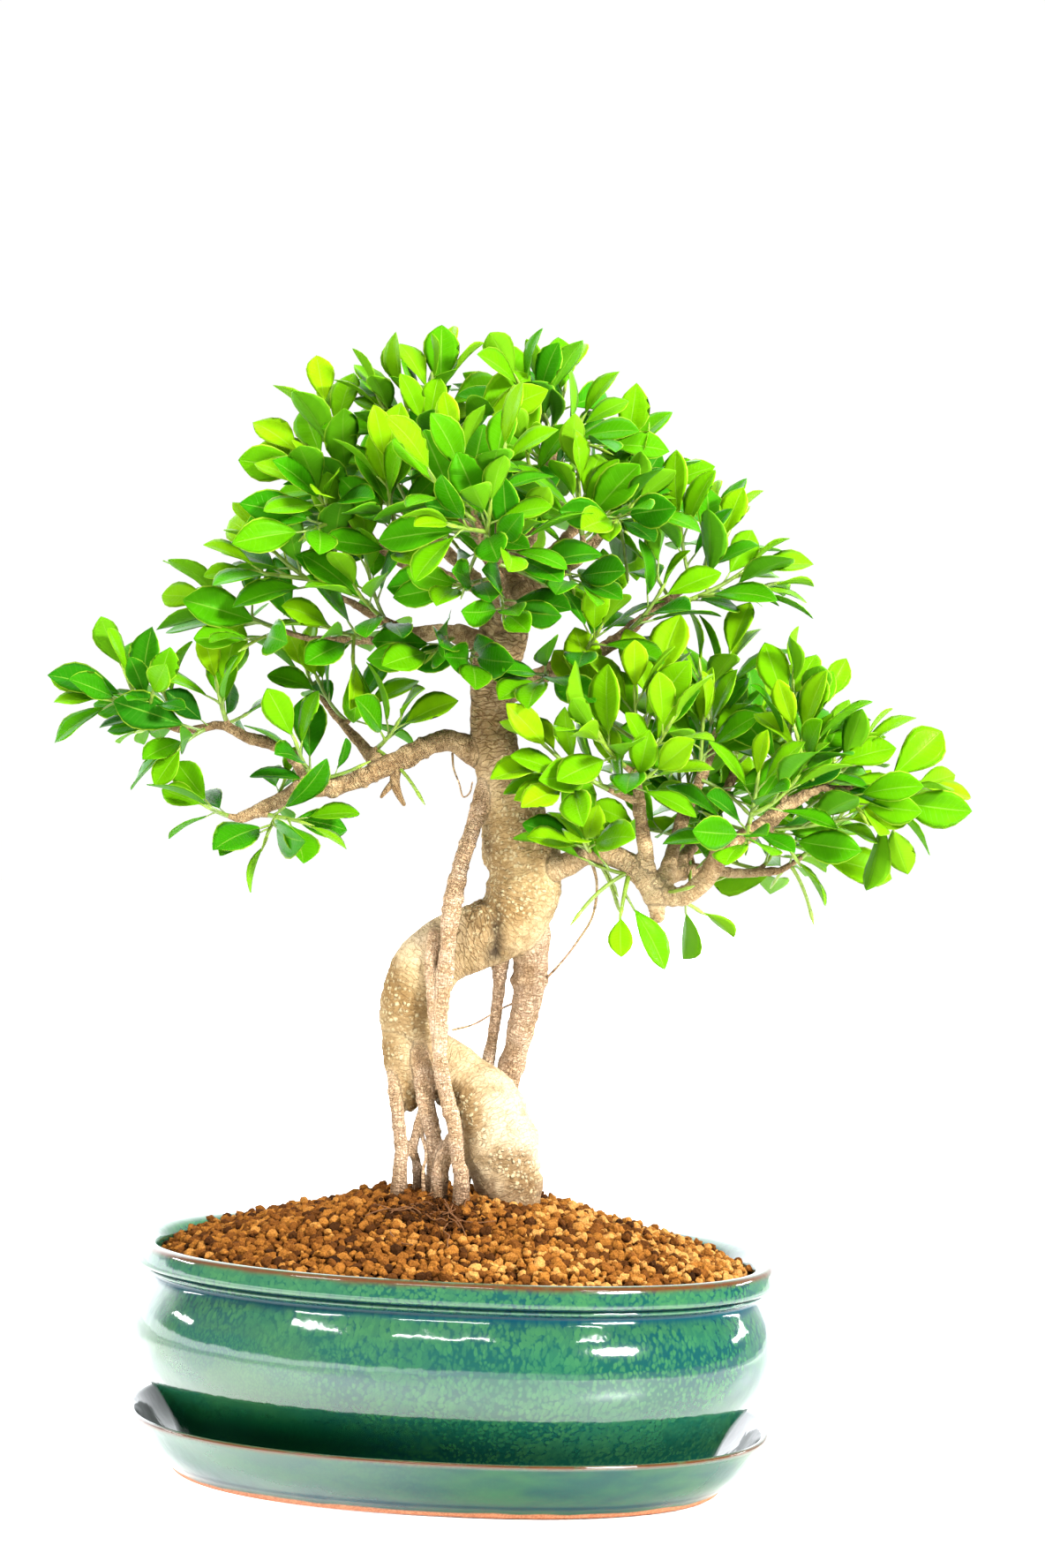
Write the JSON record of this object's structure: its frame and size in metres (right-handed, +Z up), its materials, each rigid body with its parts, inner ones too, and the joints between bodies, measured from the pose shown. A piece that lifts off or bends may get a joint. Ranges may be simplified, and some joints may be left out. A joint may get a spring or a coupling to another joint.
{
  "type": "ficus bonsai",
  "caption": "Ficus bonsai with a swollen looping trunk, aerial roots and leafy pads, growing in a glazed oval pot that stands on a matching water saucer.",
  "frame": {"origin": "centre of the saucer's flat underside, on the surface that it stands on", "axes": "+X along the pot to the right as seen from the front, +Y from the front to the back, +Z up"},
  "size_m": [0.4279, 0.2274, 0.5396],
  "materials": {
    "glaze": "glossy mottled green over blue-green",
    "granules": "matte fired clay granules",
    "screen": "matte moulded mesh",
    "bark": "pale tan bark, finely wrinkled and pebbled",
    "leaf": "glossy leathery leaf"
  },
  "bodies": {
    "root": {"saucer": "glaze", "pot": "glaze", "drain_screen_left": "screen", "drain_screen_right": "screen", "soil": "granules", "wood": "bark", "spray_crown_up_left_1": "leaf", "spray_crown_up_left_2": "leaf", "spray_crown_up_left_3": "leaf", "spray_crown_up_right_1": "leaf", "spray_crown_up_right_2": "leaf", "spray_crown_up_right_3": "leaf", "spray_crown_left_high_1": "leaf", "spray_crown_left_high_2": "leaf", "spray_crown_left_high_3": "leaf", "spray_crown_front_1": "leaf", "spray_crown_front_2": "leaf", "spray_crown_front_3": "leaf", "spray_crown_mid_right_1": "leaf", "spray_crown_mid_right_2": "leaf", "spray_crown_back_left_1": "leaf", "spray_crown_back_left_2": "leaf", "spray_crown_back_right_1": "leaf", "spray_crown_back_right_2": "leaf", "spray_crown_left_1": "leaf", "spray_crown_left_2": "leaf", "spray_crown_left_low_1": "leaf", "spray_crown_left_low_2": "leaf", "spray_crown_right_1": "leaf", "spray_crown_right_2": "leaf", "spray_crown_right_3": "leaf", "spray_crown_right_4": "leaf", "spray_left_upper_1": "leaf", "spray_left_upper_2": "leaf", "spray_left_upper_3": "leaf", "spray_left_upper_4": "leaf", "spray_left_limb_1": "leaf", "spray_left_limb_2": "leaf", "spray_left_limb_3": "leaf", "spray_left_back_1": "leaf", "spray_left_back_2": "leaf", "spray_left_back_3": "leaf", "spray_right_rise_1": "leaf", "spray_right_rise_2": "leaf", "spray_right_rise_3": "leaf", "spray_right_mid_1": "leaf", "spray_right_mid_2": "leaf", "spray_right_front_1": "leaf", "spray_right_front_2": "leaf", "spray_right_front_3": "leaf", "spray_right_front_4": "leaf", "spray_right_front_5": "leaf", "spray_right_back_1": "leaf", "spray_right_back_2": "leaf", "spray_right_back_3": "leaf", "spray_right_far_back_1": "leaf", "spray_right_far_back_2": "leaf", "spray_right_limb_1": "leaf", "spray_right_limb_2": "leaf", "spray_right_limb_3": "leaf"}
  },
  "joints": []
}
